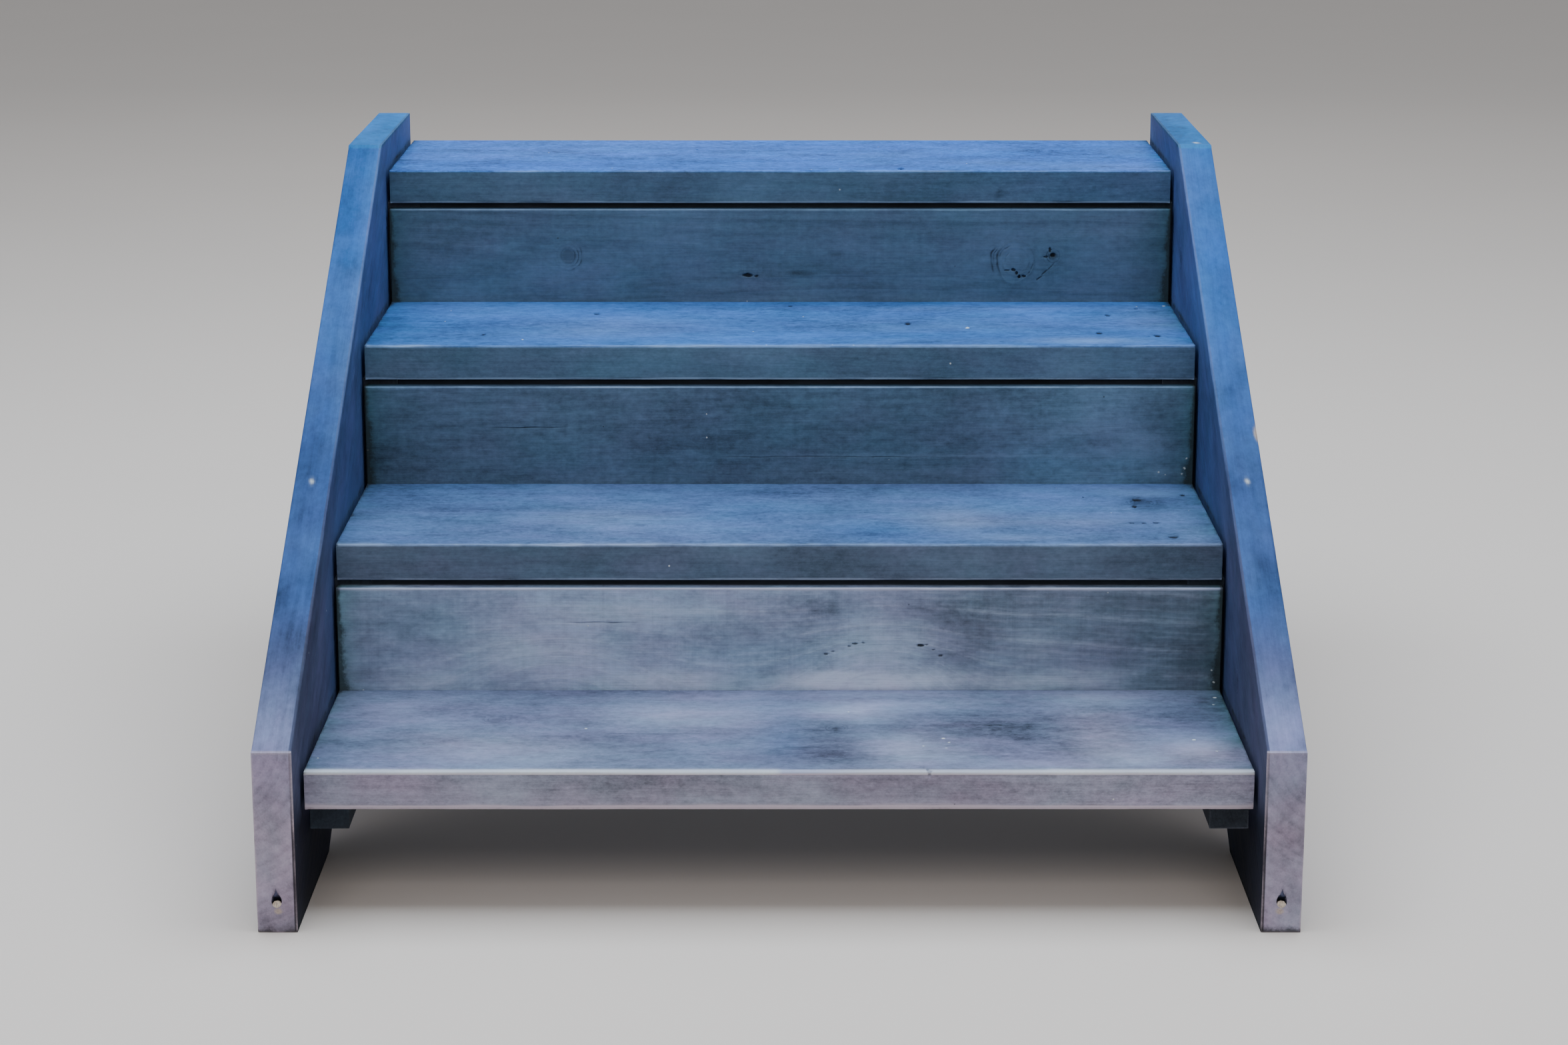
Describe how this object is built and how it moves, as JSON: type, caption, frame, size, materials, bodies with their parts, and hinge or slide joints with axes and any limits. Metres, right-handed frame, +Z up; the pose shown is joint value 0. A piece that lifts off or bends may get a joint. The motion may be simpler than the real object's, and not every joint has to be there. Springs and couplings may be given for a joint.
{
  "type": "timber deck stair",
  "caption": "Straight timber deck stair with solid raking stringers, thick treads, gapped riser boards, an open bottom step and a rear bearer that bolts to a wall.",
  "frame": {"origin": "centre of the rear face of the top bearer, the flat face that goes against the wall or bank", "axes": "+X to the right for someone going up, +Y into the bank (the way the stair climbs), +Z up; the deck that the feet stand on is at z = -0.573 m"},
  "size_m": [1.084, 1.24, 0.697],
  "materials": {
    "stringer_stain": "dark slate-blue exterior timber stain, low sheen, worn paler on the arrises and greyer on the end grain",
    "tread_stain": "slate-blue exterior timber stain, low sheen, faded in patches, pale worn nosing arris",
    "riser_stain": "dark slate timber stain over visible flat-sawn grain and knots, low sheen",
    "batten_stain": "dark timber stain, matt, dusty"
  },
  "bodies": {
    "root": {"left_stringer": "stringer_stain", "right_stringer": "stringer_stain", "tread_1": "tread_stain", "tread_2": "tread_stain", "tread_3": "tread_stain", "tread_4": "tread_stain", "riser_1": "riser_stain", "riser_2": "riser_stain", "riser_3": "riser_stain", "tread_batten_left_1": "batten_stain", "tread_batten_left_2": "batten_stain", "tread_batten_left_3": "batten_stain", "tread_batten_left_4": "batten_stain", "tread_batten_right_1": "batten_stain", "tread_batten_right_2": "batten_stain", "tread_batten_right_3": "batten_stain", "tread_batten_right_4": "batten_stain", "riser_batten_left_1": "batten_stain", "riser_batten_left_2": "batten_stain", "riser_batten_left_3": "batten_stain", "riser_batten_right_1": "batten_stain", "riser_batten_right_2": "batten_stain", "riser_batten_right_3": "batten_stain", "riser_rail_1": "batten_stain", "riser_rail_2": "batten_stain", "riser_rail_3": "batten_stain", "back_bearer": "batten_stain"}
  },
  "joints": []
}
